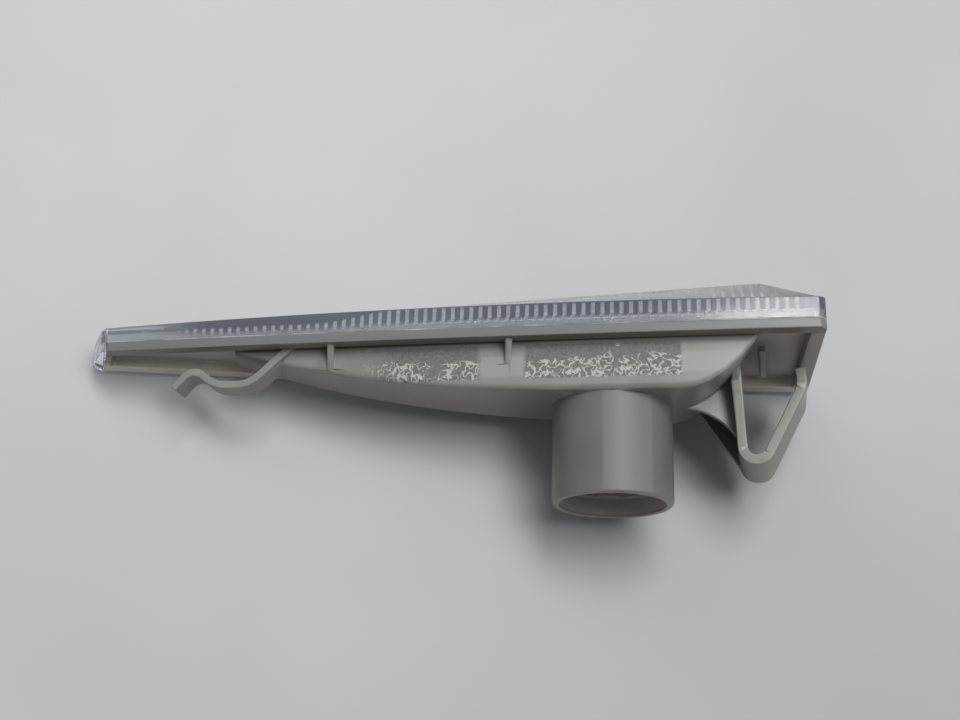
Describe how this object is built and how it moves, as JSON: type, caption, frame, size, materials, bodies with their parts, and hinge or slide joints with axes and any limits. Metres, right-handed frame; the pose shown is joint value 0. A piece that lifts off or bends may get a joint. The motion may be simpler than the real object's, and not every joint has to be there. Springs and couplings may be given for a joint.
{
  "type": "side repeater lamp",
  "caption": "Wedge-shaped side repeater lamp: ribbed clear lens on a moulded housing with a round bulb socket collar, a hook at the tip and a V-shaped spring clip.",
  "frame": {"origin": "centre of the bulb socket's mouth", "axes": "+Y out of the bulb socket, away from the lens; +X along the long straight edge towards the narrow tip; +Z from the long edge towards the sloping edge"},
  "size_m": [0.1182, 0.034, 0.033],
  "materials": {
    "housing_plastic": "semi-gloss moulded plastic, warm grey-green",
    "lens_clear": "clear polished plastic with inner flutes"
  },
  "bodies": {
    "root": {"housing": "housing_plastic", "lens": "lens_clear"}
  },
  "joints": []
}
